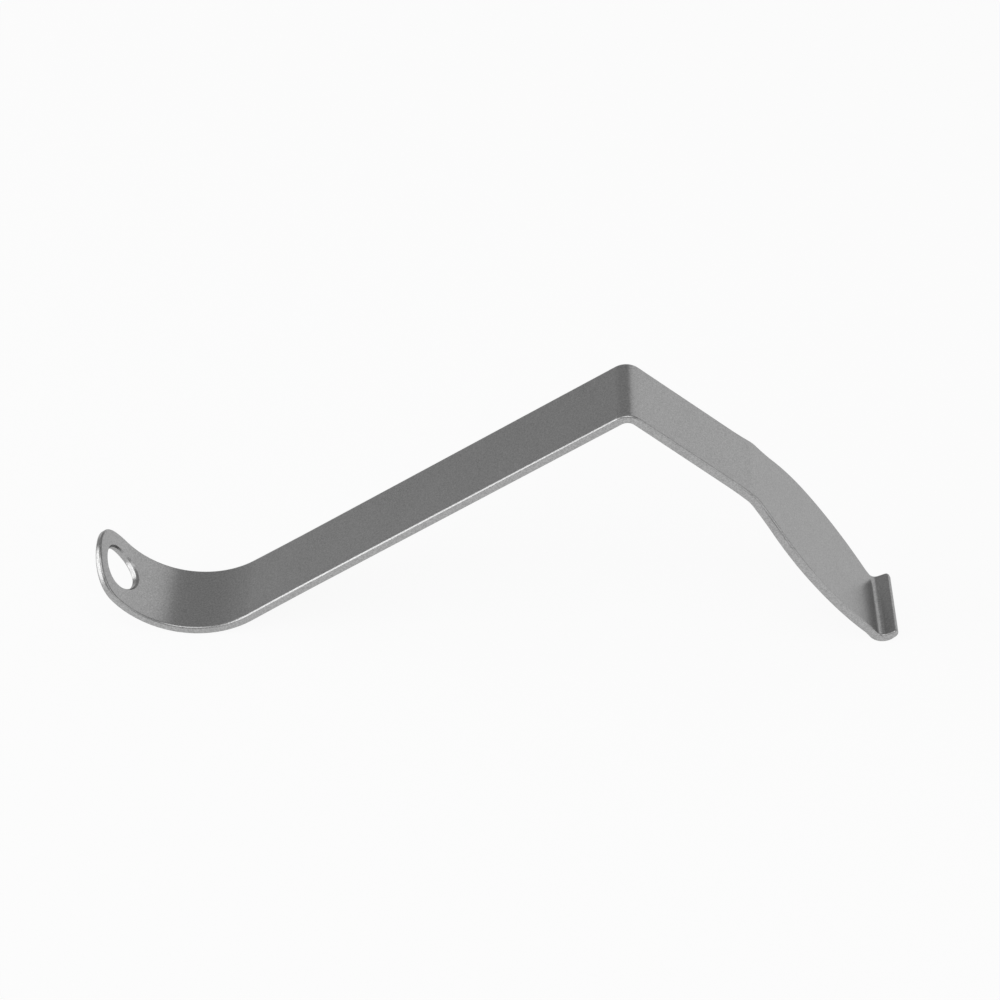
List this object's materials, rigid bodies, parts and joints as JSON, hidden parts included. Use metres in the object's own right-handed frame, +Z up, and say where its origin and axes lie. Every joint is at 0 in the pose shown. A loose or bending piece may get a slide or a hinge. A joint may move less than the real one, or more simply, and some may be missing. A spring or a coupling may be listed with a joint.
{
  "type": "handheld surgical retractor",
  "caption": "Bent flat-strip handheld retractor: a curled end with a hanging hole, a straight handle, a tight bend and a flared blade with a small lip.",
  "frame": {"origin": "on the surface that the instrument stands on, below the middle of its overall length and width", "axes": "+Z up, +X from the curled end towards the blade's lip, +Y across the strip's width"},
  "size_m": [0.2041, 0.0322, 0.0718],
  "materials": {
    "satin_steel": "satin stainless steel, evenly blasted, with softly rounded bright edges"
  },
  "bodies": {
    "root": {"retractor": "satin_steel"}
  },
  "joints": []
}
